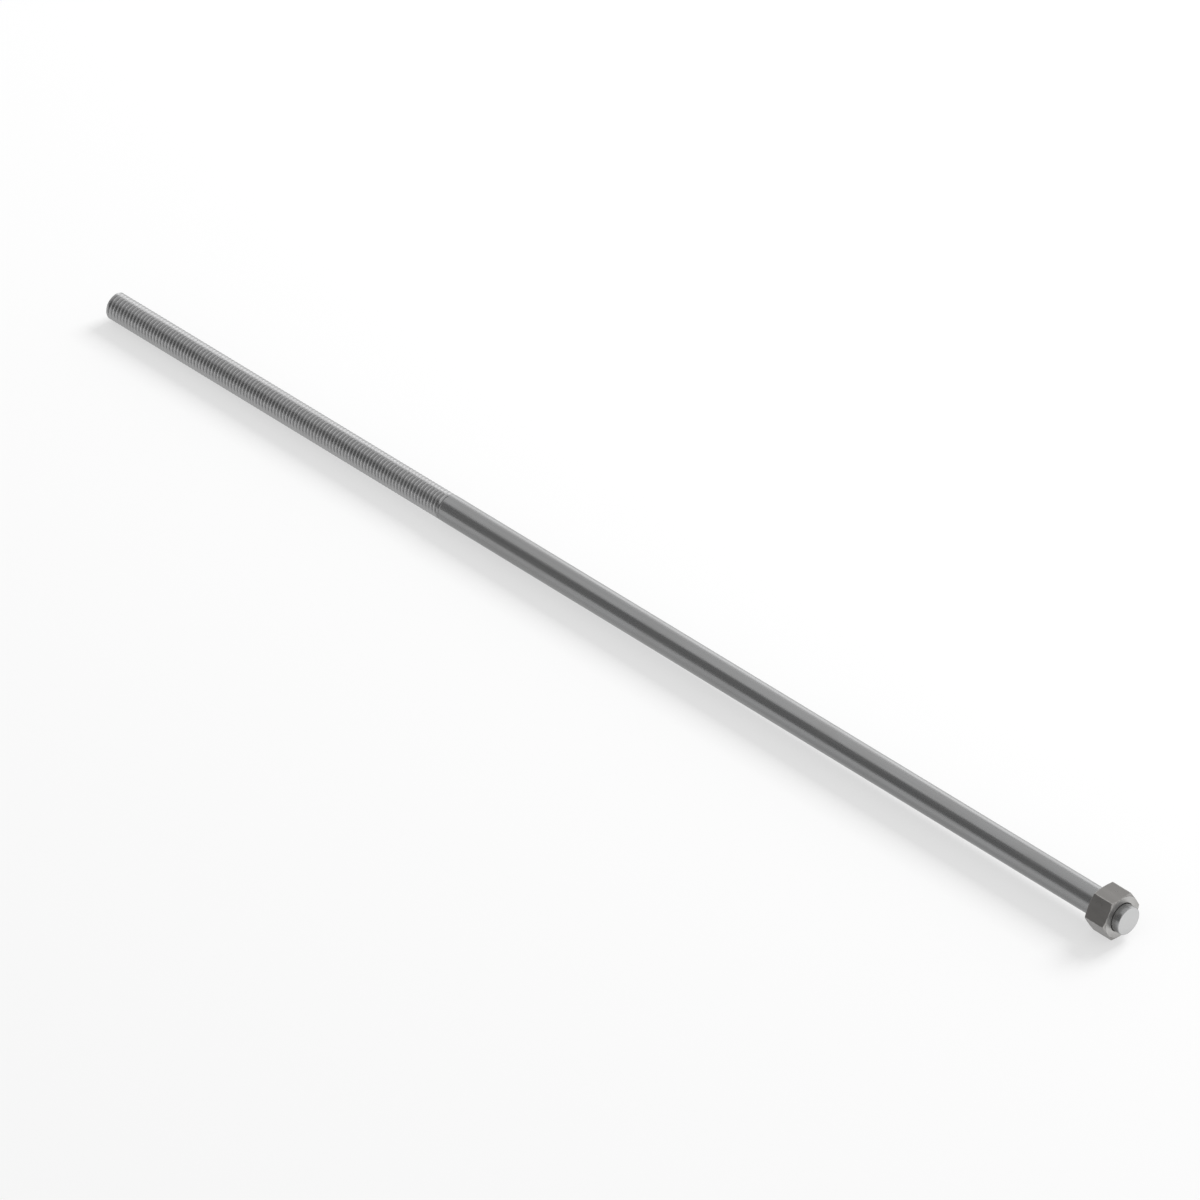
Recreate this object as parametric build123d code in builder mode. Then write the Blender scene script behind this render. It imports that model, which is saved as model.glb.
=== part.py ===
from build123d import *
import os
from math import atan, cos, radians, sin, sqrt, tan

os.makedirs("parts", exist_ok=True)

# Gang bolt: a long turned bar, threaded at one end, with a hexagon nut fixed as its
# head a short way in from the other end. All sizes in millimetres.
#
# Origin: on the bar's axis, in the nut's bearing face, which is the face that pulls up
# against the work. +X points out through the nut's end of the bar and +Z is up. The bolt
# lies on a level surface, on one flat of the nut and on the tip of the thread, so its axis
# falls by a fraction of a degree towards the tip.

# ---- driving dimensions ----
rod_diameter = 12.7          # plain shank and plain stub, 1/2 in
overall_length = 609.6       # end face to threaded tip, 24 in
thread_length = 209.55       # from the tip to the end of the run-out groove, 8 1/4 in
threads_per_inch = 13        # coarse thread of a 1/2 in bolt
thread_allowance = 0.08      # crest diameter below the shank's, for an easy running thread
end_break = 0.2              # sharp edge taken off both ends of the bar

nut_across_flats = 19.05     # 3/4 in spanner
nut_thickness = 11.1125      # 7/16 in
nut_face_ratio = 0.99        # chamfer circle on each face as a share of the across-flats size
nut_chamfer_angle = 20.0     # slope of the corner chamfers from the face, degrees
stub_length = 3.9            # bar left proud of the nut's outer face
bore_clearance = 0.0         # the nut grips the bar
bore_countersink = 0.45      # 45 degree countersink at each mouth of the nut's bore

# ---- sizes that follow ----
inch = 25.4
thread_angle = 60.0          # included angle of the V
root_share = 0.6134          # depth of an external unified thread as a share of its pitch

thread_pitch = inch / threads_per_inch
thread_depth = root_share * thread_pitch
thread_radius = (rod_diameter - thread_allowance) / 2
thread_root_radius = thread_radius - thread_depth
groove_half_width = thread_depth * tan(radians(thread_angle / 2))

rod_radius = rod_diameter / 2
x_end = -nut_thickness - stub_length
x_tip = x_end + overall_length
x_thread = x_tip - thread_length
x_groove = x_thread + groove_half_width

nut_apothem = nut_across_flats / 2
nut_corner_radius = nut_across_flats / sqrt(3)
nut_face_radius = nut_face_ratio * nut_apothem
chamfer_slope = tan(radians(nut_chamfer_angle))
corner_setback = (nut_corner_radius - nut_face_radius) * chamfer_slope
flat_setback = (nut_apothem - nut_face_radius) * chamfer_slope
bore_radius = rod_radius + bore_clearance

# the line under the nut's flat and under the thread's last crest is level
rest_angle = atan((nut_apothem - thread_radius) / (x_tip - end_break + flat_setback))

# ---- planes and axis of the bar: distances along it count from the origin to the tip ----
towards_tip = (-cos(rest_angle), 0, -sin(rest_angle))
section_plane = Plane(origin=(0, 0, 0), x_dir=towards_tip, z_dir=(0, 1, 0))
cross_plane = Plane(origin=(0, 0, 0), x_dir=(0, 1, 0), z_dir=towards_tip)
rod_axis = Axis((0, 0, 0), towards_tip)

# ---- rod: one turned bar, with a plain stub, a shank and a threaded end ----
# The threaded end is a plain cylinder at the crest diameter. The groove is the last turn
# of the thread, where it runs out against the shank.
with BuildPart() as rod:
    with BuildSketch(section_plane):
        with BuildLine():
            Polyline(
                (x_end, 0),
                (x_end, rod_radius - end_break),
                (x_end + end_break, rod_radius),
                (x_thread, rod_radius),
                (x_groove, thread_root_radius),
                (x_groove + groove_half_width, thread_radius),
                (x_tip - end_break, thread_radius),
                (x_tip, thread_radius - end_break),
                (x_tip, 0),
                close=True,
            )
        make_face()
    revolve(axis=rod_axis)
rod.part.label = "rod"
export_step(rod.part, "parts/rod.step")

# ---- head nut: plain hexagon nut, chamfered on both faces, two flats level ----
with BuildPart() as head_nut:
    with BuildSketch(cross_plane):
        RegularPolygon(radius=nut_apothem, side_count=6, major_radius=False)
    extrude(amount=-nut_thickness)
    # both faces are turned to a shallow cone that takes the corners back
    with BuildSketch(section_plane):
        with BuildLine():
            Polyline(
                (0, 0),
                (0, nut_face_radius),
                (-corner_setback, nut_corner_radius),
                (corner_setback - nut_thickness, nut_corner_radius),
                (-nut_thickness, nut_face_radius),
                (-nut_thickness, 0),
                close=True,
            )
        make_face()
    revolve(axis=rod_axis, mode=Mode.INTERSECT)
    with BuildSketch(cross_plane):
        Circle(bore_radius)
    extrude(amount=-nut_thickness, mode=Mode.SUBTRACT)
    bore_mouths = head_nut.faces().filter_by(GeomType.CYLINDER).edges()
    chamfer(bore_mouths, length=bore_countersink)
head_nut.part.label = "head_nut"
export_step(head_nut.part, "parts/head_nut.step")
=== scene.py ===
import math

import bmesh
import bpy
from mathutils import Matrix, Vector


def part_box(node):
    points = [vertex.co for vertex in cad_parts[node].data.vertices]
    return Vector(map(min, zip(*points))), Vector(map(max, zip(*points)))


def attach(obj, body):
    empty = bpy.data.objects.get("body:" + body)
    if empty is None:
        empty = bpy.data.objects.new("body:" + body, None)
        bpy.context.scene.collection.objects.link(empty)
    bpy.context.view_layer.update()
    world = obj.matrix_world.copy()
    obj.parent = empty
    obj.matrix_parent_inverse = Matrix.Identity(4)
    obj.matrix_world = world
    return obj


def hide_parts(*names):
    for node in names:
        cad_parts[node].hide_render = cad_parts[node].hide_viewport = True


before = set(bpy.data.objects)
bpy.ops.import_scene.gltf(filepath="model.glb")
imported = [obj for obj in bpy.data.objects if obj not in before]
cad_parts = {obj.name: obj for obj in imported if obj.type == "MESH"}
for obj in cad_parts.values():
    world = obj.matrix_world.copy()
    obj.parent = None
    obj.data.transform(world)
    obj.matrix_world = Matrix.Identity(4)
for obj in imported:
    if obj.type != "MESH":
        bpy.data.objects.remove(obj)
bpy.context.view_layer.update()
barLow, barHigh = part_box("rod")
nutLow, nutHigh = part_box("head_nut")
floorHeight = min(barLow.z, nutLow.z)
mm = 0.001
print("frame loaded:", sorted(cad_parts))

# The bar lies on a flat of the nut and on the tip of its thread, so it leans a third of a degree.
# Both pieces are made straight along X, with the nut's bearing face at zero, and leaned together.
crestRadius = 6.31 * mm
lean = math.atan2(-barLow.z - crestRadius, -barLow.x)
leaned = Matrix.Rotation(-lean, 4, "Y")


def addNode(tree, kind, inputs=None, **settings):
    node = tree.nodes.new(kind)
    for key, value in settings.items():
        setattr(node, key, value)
    for key, value in (inputs or {}).items():
        if isinstance(value, bpy.types.NodeSocket):
            tree.links.new(value, node.inputs[key])
        else:
            node.inputs[key].default_value = value
    return node


def newGroup(name, inputs, outputs):
    tree = bpy.data.node_groups.new(name, "ShaderNodeTree")
    for label, kind, value in inputs:
        socket = tree.interface.new_socket(label, in_out="INPUT", socket_type=kind)
        socket.default_value = value
    for label, kind in outputs:
        tree.interface.new_socket(label, in_out="OUTPUT", socket_type=kind)
    return tree, tree.nodes.new("NodeGroupInput"), tree.nodes.new("NodeGroupOutput")


def placeGroup(tree, group, inputs):
    node = addNode(tree, "ShaderNodeGroup", node_tree=group)
    for key, value in inputs.items():
        node.inputs[key].default_value = value
    return node


def maths(tree, operation, first, second=0.5, clamp=False):
    node = addNode(tree, "ShaderNodeMath", {0: first, 1: second}, operation=operation, use_clamp=clamp)
    return node.outputs[0]


def remap(tree, value, low, high, newLow=0.0, newHigh=1.0):
    settings = {"Value": value, "From Min": low, "From Max": high, "To Min": newLow, "To Max": newHigh}
    return addNode(tree, "ShaderNodeMapRange", settings, interpolation_type="SMOOTHSTEP").outputs[0]


# fine lines left by the drawing die, running along the bar
def drawnLinesGroup():
    sockets = [("Width", "NodeSocketFloat", 900.0), ("Length", "NodeSocketFloat", 0.02)]
    results = [("Fine", "NodeSocketFloat"), ("Broad", "NodeSocketFloat")]
    tree, given, result = newGroup("drawnLines", sockets, results)
    place = addNode(tree, "ShaderNodeTexCoord")
    split = addNode(tree, "ShaderNodeSeparateXYZ", {0: place.outputs["Object"]})
    along = maths(tree, "MULTIPLY", split.outputs["X"], given.outputs["Length"])
    drawn = addNode(tree, "ShaderNodeCombineXYZ", {0: along, 1: split.outputs["Y"], 2: split.outputs["Z"]})
    fine = addNode(tree, "ShaderNodeTexNoise", {"Vector": drawn.outputs[0], "Scale": given.outputs["Width"],
                                                "Detail": 5.0, "Roughness": 0.62})
    broadScale = maths(tree, "MULTIPLY", given.outputs["Width"], 0.22)
    broad = addNode(tree, "ShaderNodeTexNoise", {"Vector": drawn.outputs[0], "Scale": broadScale,
                                                 "Detail": 3.0, "Roughness": 0.5})
    tree.links.new(fine.outputs["Fac"], result.inputs["Fine"])
    tree.links.new(broad.outputs["Fac"], result.inputs["Broad"])
    return tree


# rings left by the facing tool, only on faces that look along the bar
def facingRingsGroup():
    sockets = [("Feed", "NodeSocketFloat", 0.00018)]
    results = [("Rings", "NodeSocketFloat"), ("Face", "NodeSocketFloat")]
    tree, given, result = newGroup("facingRings", sockets, results)
    place = addNode(tree, "ShaderNodeTexCoord")
    split = addNode(tree, "ShaderNodeSeparateXYZ", {0: place.outputs["Object"]})
    across = addNode(tree, "ShaderNodeCombineXYZ", {1: split.outputs["Y"], 2: split.outputs["Z"]})
    radius = addNode(tree, "ShaderNodeVectorMath", {0: across.outputs[0]}, operation="LENGTH")
    wobble = addNode(tree, "ShaderNodeTexNoise", {"Vector": place.outputs["Object"], "Scale": 260.0,
                                                  "Detail": 2.0})
    turns = maths(tree, "DIVIDE", radius.outputs["Value"], given.outputs["Feed"])
    turns = maths(tree, "MULTIPLY", turns, 2 * math.pi)
    turns = maths(tree, "ADD", turns, maths(tree, "MULTIPLY", wobble.outputs["Fac"], 5.0))
    rings = remap(tree, maths(tree, "SINE", turns), -1.0, 1.0)
    facing = addNode(tree, "ShaderNodeSeparateXYZ", {0: place.outputs["Normal"]})
    face = remap(tree, maths(tree, "ABSOLUTE", facing.outputs["X"]), 0.96, 0.995)
    tree.links.new(maths(tree, "MULTIPLY", rings, face), result.inputs["Rings"])
    tree.links.new(face, result.inputs["Face"])
    return tree


# corners rubbed bright in patches; the mesh says where its edges are
def rubbedEdgesGroup():
    sockets = [("Patches", "NodeSocketFloat", 700.0), ("Amount", "NodeSocketFloat", 0.8)]
    tree, given, result = newGroup("rubbedEdges", sockets, [("Mask", "NodeSocketFloat")])
    place = addNode(tree, "ShaderNodeTexCoord")
    edge = addNode(tree, "ShaderNodeAttribute", attribute_name="edge", attribute_type="GEOMETRY")
    noise = addNode(tree, "ShaderNodeTexNoise", {"Vector": place.outputs["Object"],
                                                 "Scale": given.outputs["Patches"],
                                                 "Detail": 4.0, "Roughness": 0.6})
    patches = remap(tree, noise.outputs["Fac"], 0.32, 0.62)
    near = remap(tree, edge.outputs["Fac"], 0.25, 1.0)
    mask = maths(tree, "MULTIPLY", near, patches)
    mask = maths(tree, "MULTIPLY", mask, given.outputs["Amount"], clamp=True)
    tree.links.new(mask, result.inputs["Mask"])
    return tree


# thin film of oil and finger marks, and small nicks from the bin
def handlingGroup():
    sockets = [("Film Scale", "NodeSocketFloat", 40.0), ("Nick Scale", "NodeSocketFloat", 260.0),
               ("Nick Share", "NodeSocketFloat", 0.08)]
    results = [("Film", "NodeSocketFloat"), ("Nicks", "NodeSocketFloat")]
    tree, given, result = newGroup("handling", sockets, results)
    place = addNode(tree, "ShaderNodeTexCoord")
    film = addNode(tree, "ShaderNodeTexNoise", {"Vector": place.outputs["Object"],
                                                "Scale": given.outputs["Film Scale"],
                                                "Detail": 5.0, "Roughness": 0.55, "Distortion": 0.6})
    nicks = addNode(tree, "ShaderNodeTexVoronoi", {"Vector": place.outputs["Object"],
                                                   "Scale": given.outputs["Nick Scale"], "Randomness": 1.0},
                    feature="F1")
    size = maths(tree, "MULTIPLY", given.outputs["Nick Share"], 2.2)
    pick = addNode(tree, "ShaderNodeSeparateColor", {0: nicks.outputs["Color"]})
    few = maths(tree, "GREATER_THAN", pick.outputs["Red"], 0.88)
    inside = maths(tree, "LESS_THAN", nicks.outputs["Distance"], size)
    tree.links.new(remap(tree, film.outputs["Fac"], 0.35, 0.68), result.inputs["Film"])
    tree.links.new(maths(tree, "MULTIPLY", few, inside), result.inputs["Nicks"])
    return tree


drawnLines = drawnLinesGroup()
facingRings = facingRingsGroup()
rubbedEdges = rubbedEdgesGroup()
handling = handlingGroup()
print("node groups built:", len(bpy.data.node_groups))


def mixColour(tree, share, first, second):
    node = addNode(tree, "ShaderNodeMix", data_type="RGBA")
    for key, value in ((0, share), (6, first), (7, second)):
        if isinstance(value, bpy.types.NodeSocket):
            tree.links.new(value, node.inputs[key])
        else:
            node.inputs[key].default_value = value
    return node.outputs[2]


def mixValue(tree, share, first, second):
    node = addNode(tree, "ShaderNodeMix", data_type="FLOAT")
    for key, value in ((0, share), (2, first), (3, second)):
        if isinstance(value, bpy.types.NodeSocket):
            tree.links.new(value, node.inputs[key])
        else:
            node.inputs[key].default_value = value
    return node.outputs[0]


# bare steel: drawn lines, facing rings, film, nicks and rubbed edges, each at its own strength
def steel(name, finish):
    material = bpy.data.materials.new(name)
    material.use_nodes = True
    tree = material.node_tree
    shader = tree.nodes["Principled BSDF"]
    shader.inputs["Metallic"].default_value = 1.0
    lines = placeGroup(tree, drawnLines, {"Width": finish["lineWidth"], "Length": finish["lineLength"]})
    rings = placeGroup(tree, facingRings, {"Feed": finish["facingFeed"]})
    rubbed = placeGroup(tree, rubbedEdges, {"Patches": finish["rubPatches"], "Amount": finish["rubAmount"]})
    marks = placeGroup(tree, handling, {"Film Scale": finish["filmScale"], "Nick Scale": finish["nickScale"],
                                        "Nick Share": finish["nickShare"]})
    cutMetalAndBoreShade = addNode(tree, "ShaderNodeAttribute", attribute_name="cutMetalAndBoreShade", attribute_type="GEOMETRY")

    # sides keep the darker drawn skin, faced ends are cleaner metal
    streaks = remap(tree, lines.outputs["Broad"], 0.3, 0.7)
    colour = mixColour(tree, streaks, (*finish["dark"], 1), (*finish["light"], 1))
    faced = mixColour(tree, rings.outputs["Rings"], (*finish["faceDark"], 1), (*finish["faceLight"], 1))
    colour = mixColour(tree, rings.outputs["Face"], colour, faced)
    colour = mixColour(tree, maths(tree, "MULTIPLY", marks.outputs["Film"], finish["filmTint"]), colour,
                       (*finish["film"], 1))
    # the bar's fresh cut thread is brighter; on the nut this mix is painted shade, darkening the countersink
    # toward the bore
    inCutMetalAndBoreShade = maths(tree, "MULTIPLY", remap(tree, cutMetalAndBoreShade.outputs["Fac"], 0.55, 1.0), finish["cutMetalAndBoreShadeShare"])
    colour = mixColour(tree, inCutMetalAndBoreShade, colour, (*finish["cutMetalAndBoreShade"], 1))
    colour = mixColour(tree, rubbed.outputs["Mask"], colour, (*finish["rubbed"], 1))
    tree.links.new(colour, shader.inputs["Base Color"])

    rough = remap(tree, lines.outputs["Fine"], 0.3, 0.7, finish["smooth"], finish["rough"])
    rough = mixValue(tree, rings.outputs["Face"], rough, finish["faceRough"])
    rough = maths(tree, "ADD", rough, maths(tree, "MULTIPLY", marks.outputs["Film"], finish["filmRough"]))
    rough = mixValue(tree, rubbed.outputs["Mask"], rough, finish["smooth"])
    tree.links.new(rough, shader.inputs["Roughness"])

    height = mixValue(tree, rings.outputs["Face"], lines.outputs["Fine"], 0.5)
    height = maths(tree, "MULTIPLY", height, finish["lineDepth"])
    height = maths(tree, "ADD", height, maths(tree, "MULTIPLY", rings.outputs["Rings"], finish["ringDepth"]))
    nicked = maths(tree, "MULTIPLY", marks.outputs["Nicks"], finish["nickDepth"])
    height = maths(tree, "SUBTRACT", height, nicked)
    bump = addNode(tree, "ShaderNodeBump", {"Height": height, "Distance": finish["bump"], "Strength": 1.0})
    tree.links.new(bump.outputs["Normal"], shader.inputs["Normal"])
    return material


bar = {
    "stubEnd": 15.0125 * mm,       # past the bearing face, on the nut's side
    "tip": -594.5875 * mm,
    "threadLength": 209.55 * mm,
    "radius": 6.35 * mm,
    "pitch": 25.4 * mm / 13,
    "depth": 1.1985 * mm,
    "runOut": 1.3,                 # turns over which the groove fades out at the shank
    "endBreak": 0.2 * mm,
    "around": 84,
    # share of a pitch and share of the depth: crest flat, flank, rounded root, flank
    "profile": [(0.0, 0.0), (0.125, 0.0), (0.479, 1.0), (0.5625, 1.03), (0.646, 1.0)],
    "shankRings": 30,
    "finish": {
        "dark": (0.262, 0.264, 0.267),
        "light": (0.302, 0.303, 0.305),
        "film": (0.25, 0.246, 0.24),
        "filmTint": 0.25,
        "faceDark": (0.57, 0.573, 0.573),
        "faceLight": (0.62, 0.623, 0.623),
        "faceRough": 0.36,
        "cutMetalAndBoreShade": (0.445, 0.445, 0.447),
        "cutMetalAndBoreShadeShare": 1.0,
        "rubbed": (0.46, 0.46, 0.46),
        "smooth": 0.22,
        "rough": 0.30,
        "filmRough": 0.05,
        "lineWidth": 1500.0,
        "lineLength": 0.012,
        "lineDepth": 0.4,
        "ringDepth": 0.35,
        "nickDepth": 0.5,
        "facingFeed": 0.22 * mm,
        "bump": 0.01 * mm,
        "rubPatches": 500.0,
        "rubAmount": 0.6,
        "filmScale": 28.0,
        "nickScale": 130.0,
        "nickShare": 0.035,
    },
}


# one continuous right-hand groove, every ring of points leaning with the helix
def threadMesh(bm):
    columns = bar["around"]
    pitch = bar["pitch"]
    start = bar["tip"] + bar["threadLength"] + pitch     # one turn to spare at both ends, cut square later
    turns = math.ceil(bar["threadLength"] / pitch) + 3
    share = bm.verts.layers.float["cutMetalAndBoreShade"]
    rows = []
    for turn in range(turns):
        for along, deep in bar["profile"]:
            row = []
            for column in range(columns):
                x = start - (turn + along + column / columns) * pitch
                inside = (bar["tip"] + bar["threadLength"] - x) / pitch
                fade = min(max(inside / bar["runOut"], 0.0), 1.0)
                fade = fade * fade * (3 - 2 * fade)
                radius = crestRadius - bar["depth"] * deep * fade
                angle = 2 * math.pi * column / columns
                vert = bm.verts.new((x, radius * math.sin(angle), radius * math.cos(angle)))
                vert[share] = fade                       # the whole thread is fresh cut metal
                row.append(vert)
            rows.append(row)
    lap = len(bar["profile"])                            # a row joins the row one turn on at the seam
    for index in range(len(rows) - 1):
        for column in range(columns):
            if column < columns - 1:
                corners = [rows[index][column], rows[index][column + 1],
                           rows[index + 1][column + 1], rows[index + 1][column]]
            elif index + lap + 1 < len(rows):
                corners = [rows[index][column], rows[index + lap][0],
                           rows[index + lap + 1][0], rows[index + 1][column]]
            else:
                continue
            bm.faces.new(corners)


# extrudes a loop of edges to a new place along the bar, at a new radius
def carryLoop(bm, edges, x, radius=None, scale=None, edge=0.0):
    grown = bmesh.ops.extrude_edge_only(bm, edges=edges)["geom"]
    mark = bm.verts.layers.float["edge"]
    for vert in [g for g in grown if isinstance(g, bmesh.types.BMVert)]:
        now = math.hypot(vert.co.y, vert.co.z)
        factor = scale if radius is None else radius / now
        vert.co = (x, vert.co.y * factor, vert.co.z * factor)
        vert[mark] = edge
    return [g for g in grown if isinstance(g, bmesh.types.BMEdge)]


def cutSquare(bm, x, keepBelow=None):
    everything = bm.verts[:] + bm.edges[:] + bm.faces[:]
    cut = bmesh.ops.bisect_plane(bm, geom=everything, plane_co=(x, 0, 0), plane_no=(1, 0, 0), dist=1e-8,
                                 clear_outer=keepBelow is True, clear_inner=keepBelow is False)
    return [g for g in cut["geom_cut"] if isinstance(g, bmesh.types.BMEdge)]


def finishMesh(bm, name, material, sharp):
    bmesh.ops.remove_doubles(bm, verts=bm.verts[:], dist=1e-7)
    bmesh.ops.recalc_face_normals(bm, faces=bm.faces[:])
    for face in bm.faces:
        face.smooth = True
    for edge in bm.edges:
        edge.smooth = edge.calc_face_angle(0.0) < math.radians(sharp)
    mesh = bpy.data.meshes.new(name)
    bm.to_mesh(mesh)
    bm.free()
    mesh.materials.append(material)
    piece = bpy.data.objects.new(name, mesh)
    bpy.context.scene.collection.objects.link(piece)
    piece.matrix_world = leaned
    weighted = piece.modifiers.new("flatNormals", "WEIGHTED_NORMAL")
    weighted.keep_sharp = True
    return piece


def makeBar():
    bm = bmesh.new()
    bm.verts.layers.float.new("cutMetalAndBoreShade")
    mark = bm.verts.layers.float.new("edge")
    threadMesh(bm)
    threadEnd = bar["tip"] + bar["threadLength"]
    radius = bar["radius"]
    edgeBreak = bar["endBreak"]

    # tip: a small break on the crests, then the sawn and faced end
    cutSquare(bm, bar["tip"] + edgeBreak)
    loop = cutSquare(bm, bar["tip"], keepBelow=False)
    for vert in {v for e in loop for v in e.verts}:
        now = math.hypot(vert.co.y, vert.co.z)
        factor = min(1.0, (crestRadius - edgeBreak) / now)
        vert.co = (bar["tip"], vert.co.y * factor, vert.co.z * factor)
        vert[mark] = 1.0
    for scale in (0.95, 0.8, 0.5, 0.3):
        loop = carryLoop(bm, loop, bar["tip"], scale=scale)
    bmesh.ops.edgeloop_fill(bm, edges=loop)

    # shank, stub and the near end
    loop = cutSquare(bm, threadEnd, keepBelow=True)
    shankStart = threadEnd + 0.15 * mm
    shankEnd = bar["stubEnd"] - edgeBreak - 0.35 * mm
    loop = carryLoop(bm, loop, shankStart, radius)
    for ring in range(1, bar["shankRings"] + 1):
        along = shankStart + (shankEnd - shankStart) * ring / bar["shankRings"]
        loop = carryLoop(bm, loop, along, radius)
    loop = carryLoop(bm, loop, bar["stubEnd"] - edgeBreak, radius, edge=1.0)
    loop = carryLoop(bm, loop, bar["stubEnd"] - edgeBreak * 0.3, radius - edgeBreak * 0.3, edge=1.0)
    loop = carryLoop(bm, loop, bar["stubEnd"], radius - edgeBreak, edge=1.0)
    loop = carryLoop(bm, loop, bar["stubEnd"], radius - edgeBreak - 0.35 * mm)
    for scale in (0.8, 0.6, 0.3):
        loop = carryLoop(bm, loop, bar["stubEnd"], scale=scale)
    bmesh.ops.edgeloop_fill(bm, edges=loop)
    return finishMesh(bm, "turnedBar", steel("drawnBarSteel", bar["finish"]), 24)


turnedBar = makeBar()
print("bar made:", len(turnedBar.data.vertices), "points")


nut = {
    "halfFlats": (nutHigh.y - nutLow.y) / 2 * math.cos(math.radians(30)),
    "thickness": 11.1125 * mm,
    "faceShare": 0.99,             # chamfer circle against the flats
    "chamfer": 20.0,               # degrees
    "cornerRound": 0.3 * mm,
    "edgeRound": 0.1 * mm,
    "bore": 6.352 * mm,
    "countersink": 0.32 * mm,
    "columns": 14,                 # along each flat
    "skin": 0.35 * mm,             # how far the rubbed look reaches in from an edge
    "finish": {
        "dark": (0.226, 0.219, 0.212),
        "light": (0.256, 0.248, 0.24),
        "film": (0.212, 0.203, 0.193),
        "filmTint": 0.25,
        "faceDark": (0.475, 0.47, 0.46),
        "faceLight": (0.52, 0.514, 0.503),
        "faceRough": 0.34,
        # painted shade: a dark colour mixed in down the countersink, toward the bore
        "cutMetalAndBoreShade": (0.15, 0.145, 0.14),
        "cutMetalAndBoreShadeShare": 0.15,
        "rubbed": (0.47, 0.462, 0.45),
        "smooth": 0.26,
        "rough": 0.33,
        "filmRough": 0.05,
        "lineWidth": 1100.0,
        "lineLength": 0.12,
        "lineDepth": 0.3,
        "ringDepth": 0.3,
        "nickDepth": 0.5,
        "facingFeed": 0.26 * mm,
        "bump": 0.01 * mm,
        "rubPatches": 650.0,
        "rubAmount": 0.7,
        "filmScale": 90.0,
        "nickScale": 210.0,
        "nickShare": 0.035,
    },
}


# hexagon with rounded corners: angles from a flat's middle, and the distance out at each
def hexagonColumns():
    half = nut["halfFlats"]
    slope = math.tan(math.radians(30))
    tangent = math.atan((half * slope - nut["cornerRound"] * slope) / half)
    inner = tangent - nut["skin"] / half
    centre = half / math.cos(math.radians(30)) - nut["cornerRound"] / math.sin(math.radians(60))
    angles = [-tangent]
    angles += [-inner + 2 * inner * k / nut["columns"] for k in range(nut["columns"] + 1)]
    angles += [tangent]
    corner = math.radians(30) - tangent
    angles += [tangent + corner * k / 2 for k in (1, 2, 3)]
    columns = []
    for side in range(6):
        for angle in angles:
            if abs(angle) <= tangent + 1e-9:
                out = half / math.cos(angle)
            else:
                off = angle - math.radians(30)
                reach = nut["cornerRound"] ** 2 - (centre * math.sin(off)) ** 2
                out = centre * math.cos(off) + math.sqrt(max(reach, 0.0))
            onEdge = 0.0 if abs(angle) < inner + 1e-9 else 1.0
            columns.append((angle + side * math.radians(60), out, onEdge))
    return columns


# distances out and in from the face for one column, from the side to the bore
def facePoints(out):
    slope = math.radians(nut["chamfer"])
    circle = nut["halfFlats"] * nut["faceShare"]
    meet = (out - circle) * math.tan(slope)
    edgeRound = nut["edgeRound"]
    turn = math.radians(90) - slope
    back = edgeRound * math.tan(turn / 2)
    points = [(out, meet + back + nut["skin"], 0.0)]
    for step in range(5):
        swing = turn * step / 4
        inward = meet + back - edgeRound * math.sin(swing)
        points.append((out - edgeRound * (1 - math.cos(swing)), inward, 1.0))
    points.append((circle, 0.0, 0.6))
    points.append((circle - nut["skin"], 0.0, 0.0))
    mouth = nut["bore"] + nut["countersink"]
    points.append(((circle + mouth) / 2, 0.0, 0.0))
    points.append((mouth + nut["skin"], 0.0, 0.0))
    points.append((mouth + 0.04 * mm, 0.0, 0.8))
    points.append((mouth - 0.04 * mm, 0.07 * mm, 0.8))
    points.append((nut["bore"], nut["countersink"], 0.0))
    return points


def makeNut():
    bm = bmesh.new()
    mark = bm.verts.layers.float.new("edge")
    boreShade = bm.verts.layers.float.new("cutMetalAndBoreShade")
    columns = hexagonColumns()
    strips = []
    for angle, out, onEdge in columns:
        face = facePoints(out)
        last = len(face) - 1
        strip = []
        for near in (True, False):
            order = range(last, -1, -1) if near else range(len(face))
            for index in order:
                radius, inward, edge = face[index]
                x = nut["thickness"] - inward if near else inward
                vert = bm.verts.new((x, radius * math.sin(angle), radius * math.cos(angle)))
                onSide = index <= 5
                vert[mark] = max(edge, onEdge if onSide else 0.0)
                # painted shade: the bore's edge, deep in the countersink, is marked so the countersink
                # darkens toward it
                vert[boreShade] = 1.0 if index == last else 0.0
                strip.append(vert)
        strips.append(strip)
    for index, strip in enumerate(strips):
        following = strips[(index + 1) % len(strips)]
        for row in range(len(strip)):
            after = (row + 1) % len(strip)
            bm.faces.new((strip[row], strip[after], following[after], following[row]))
    return finishMesh(bm, "hexagonNut", steel("nutSteel", nut["finish"]), 19)


hexagonNut = makeNut()
print("nut made:", len(hexagonNut.data.vertices), "points")

for piece, node in ((turnedBar, "rod"), (hexagonNut, "head_nut")):
    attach(piece, "root")
    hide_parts(node)
print("pieces ride on the frame")


studio = {
    "floorSize": 14.0,
    "floorColour": (0.9, 0.9, 0.9, 1),
    "floorGlow": 0.56,
    "skyColour": (1, 1, 1, 1),
    "skyLight": 0.52,              # what the sky adds to matt surfaces
    # name, position about the bar's middle, width, height, watts, shows in the steel
    "softboxes": [
        ("backSoftbox", (-0.2, 2.4, 0.62), 6.0, 1.25, 23.0, True),
        ("keyLamp", (0.1, 2.2, 1.7), 1.1, 1.1, 68.0, False),
    ],
    # dim cards that give the steel its contrast: name, position, width, height, brightness
    "cards": [
        ("frontCard", (-0.8, -2.2, 1.35), 9.0, 2.7, 0.29),
        ("sideCard", (2.3, 0.75, 0.55), 2.8, 1.1, 0.55),
    ],
}


def aimAt(thing, target):
    thing.rotation_euler = (target - thing.location).to_track_quat("-Z", "Y").to_euler()


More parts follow.
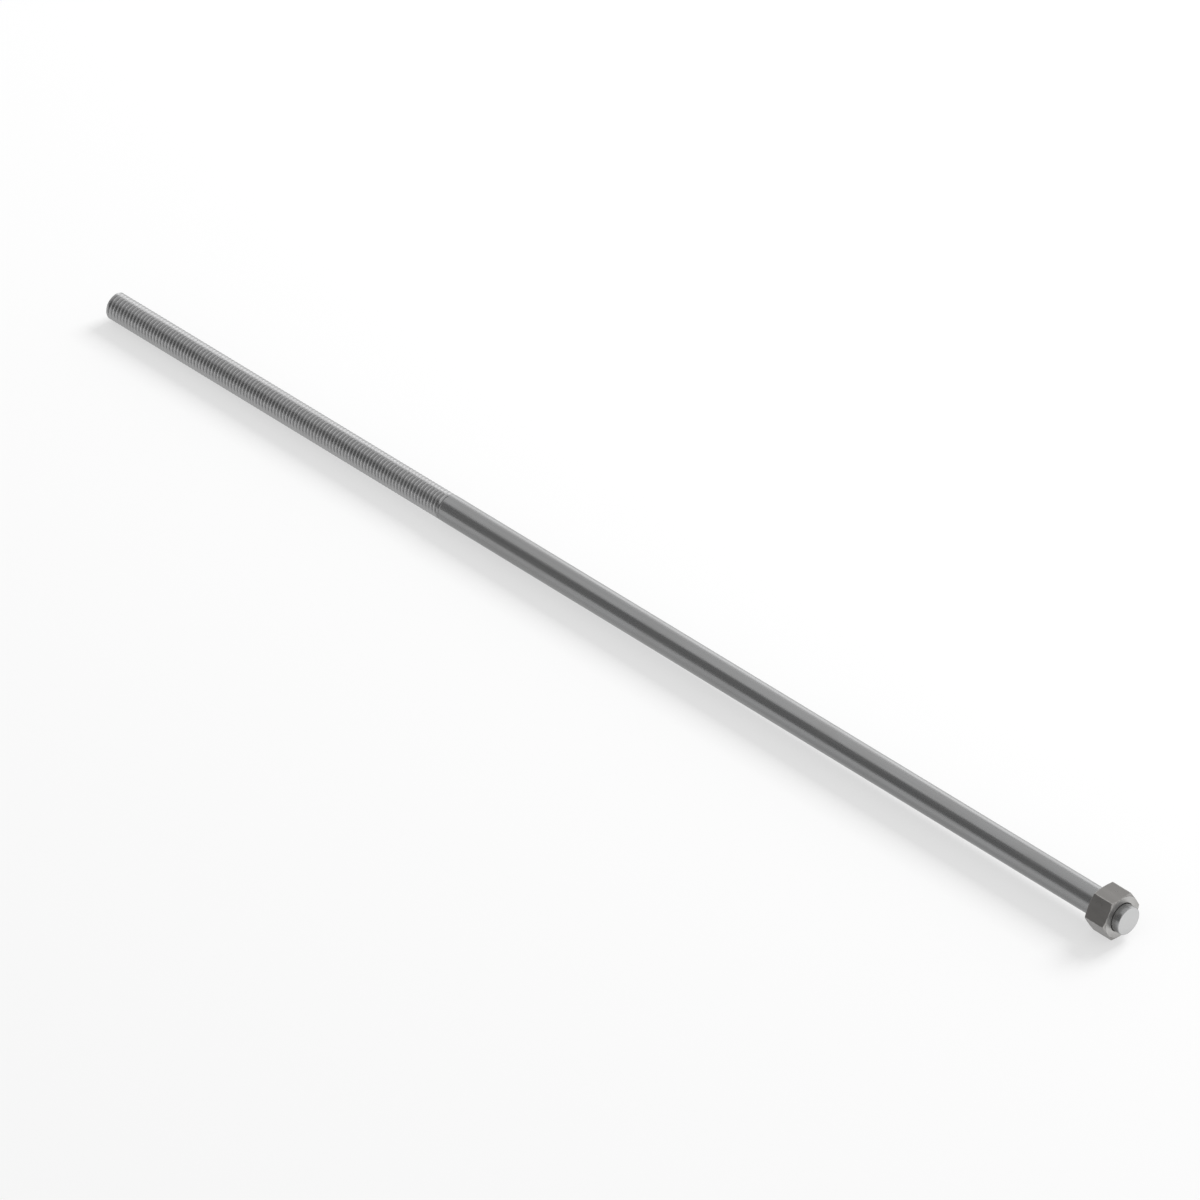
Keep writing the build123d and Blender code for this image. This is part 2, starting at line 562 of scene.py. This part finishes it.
def makeFloor():
    bm = bmesh.new()
    bmesh.ops.create_grid(bm, x_segments=24, y_segments=24, size=studio["floorSize"] / 2)
    mesh = bpy.data.meshes.new("paleFloor")
    bm.to_mesh(mesh)
    bm.free()
    floor = bpy.data.objects.new("paleFloor", mesh)
    bpy.context.scene.collection.objects.link(floor)
    floor.location = ((barLow.x + barHigh.x) / 2, 0, floorHeight)
    material = bpy.data.materials.new("paleFloor")
    material.use_nodes = True
    tree = material.node_tree
    tree.nodes.clear()
    matt = addNode(tree, "ShaderNodeBsdfDiffuse", {"Color": studio["floorColour"]})
    glow = addNode(tree, "ShaderNodeEmission", {"Color": (1, 1, 1, 1), "Strength": 1.0})
    light = addNode(tree, "ShaderNodeLightPath")
    seen = maths(tree, "ADD", light.outputs["Is Camera Ray"], light.outputs["Is Glossy Ray"])
    seen = maths(tree, "ADD", seen, light.outputs["Is Transmission Ray"], clamp=True)
    share = maths(tree, "MULTIPLY", seen, studio["floorGlow"])
    blend = addNode(tree, "ShaderNodeMixShader", {0: share, 1: matt.outputs[0], 2: glow.outputs[0]})
    addNode(tree, "ShaderNodeOutputMaterial", {"Surface": blend.outputs[0]})
    mesh.materials.append(material)


def makeWorld():
    world = bpy.data.worlds.new("studio")
    world.use_nodes = True
    tree = world.node_tree
    tree.nodes.clear()
    light = addNode(tree, "ShaderNodeLightPath")
    seen = maths(tree, "ADD", light.outputs["Is Camera Ray"], light.outputs["Is Glossy Ray"])
    seen = maths(tree, "ADD", seen, light.outputs["Is Transmission Ray"], clamp=True)
    strength = mixValue(tree, seen, studio["skyLight"], 1.0)
    sky = addNode(tree, "ShaderNodeBackground", {"Color": studio["skyColour"], "Strength": strength})
    addNode(tree, "ShaderNodeOutputWorld", {"Surface": sky.outputs[0]})
    bpy.context.scene.world = world


def makeLights():
    middle = Vector(((barLow.x + barHigh.x) / 2, 0, 0))
    for name, place, width, height, power, shows in studio["softboxes"]:
        lamp = bpy.data.lights.new(name, "AREA")
        lamp.shape = "RECTANGLE"
        lamp.size = width
        lamp.size_y = height
        lamp.energy = power
        thing = bpy.data.objects.new(name, lamp)
        bpy.context.scene.collection.objects.link(thing)
        thing.location = middle + Vector(place)
        thing.visible_camera = False
        thing.visible_glossy = shows
        aimAt(thing, middle)


def makeCards():
    middle = Vector(((barLow.x + barHigh.x) / 2, 0, 0))
    for name, place, width, height, shade in studio["cards"]:
        bm = bmesh.new()
        bmesh.ops.create_grid(bm, x_segments=1, y_segments=1, size=0.5)
        mesh = bpy.data.meshes.new(name)
        bm.to_mesh(mesh)
        bm.free()
        card = bpy.data.objects.new(name, mesh)
        bpy.context.scene.collection.objects.link(card)
        card.scale = (width, height, 1)
        card.location = middle + Vector(place)
        aimAt(card, middle)
        material = bpy.data.materials.new(name)
        material.use_nodes = True
        tree = material.node_tree
        tree.nodes.clear()
        glow = addNode(tree, "ShaderNodeEmission", {"Color": (shade, shade, shade, 1), "Strength": 1.0})
        addNode(tree, "ShaderNodeOutputMaterial", {"Surface": glow.outputs[0]})
        mesh.materials.append(material)
        card.visible_camera = False
        card.visible_diffuse = False
        card.visible_shadow = False


view = {
    "azimuth": 45.418,
    "elevation": 37.237,
    "distance": 5.4033,
    "lens": 383.3,
    "aim": (-0.290, 0.0, 0.0),
    "right": -0.002339,
    "up": 0.000118,
}


def makeCamera():
    turn = math.radians(view["azimuth"])
    tilt = math.radians(view["elevation"])
    back = Vector((math.sin(turn) * math.cos(tilt), -math.cos(turn) * math.cos(tilt), math.sin(tilt)))
    right = Vector((math.cos(turn), math.sin(turn), 0))
    up = back.cross(right)
    aim = Vector(view["aim"]) + right * view["right"] + up * view["up"]
    lens = bpy.data.cameras.new("camera")
    lens.lens = view["lens"]
    lens.sensor_width = 36.0
    lens.clip_end = 60.0
    camera = bpy.data.objects.new("camera", lens)
    bpy.context.scene.collection.objects.link(camera)
    camera.location = aim + back * view["distance"]
    camera.rotation_euler = (-back).to_track_quat("-Z", "Y").to_euler()
    bpy.context.scene.camera = camera


makeFloor()
makeWorld()
makeLights()
makeCards()
makeCamera()
bpy.context.scene.view_settings.view_transform = "Standard"
print("studio ready")
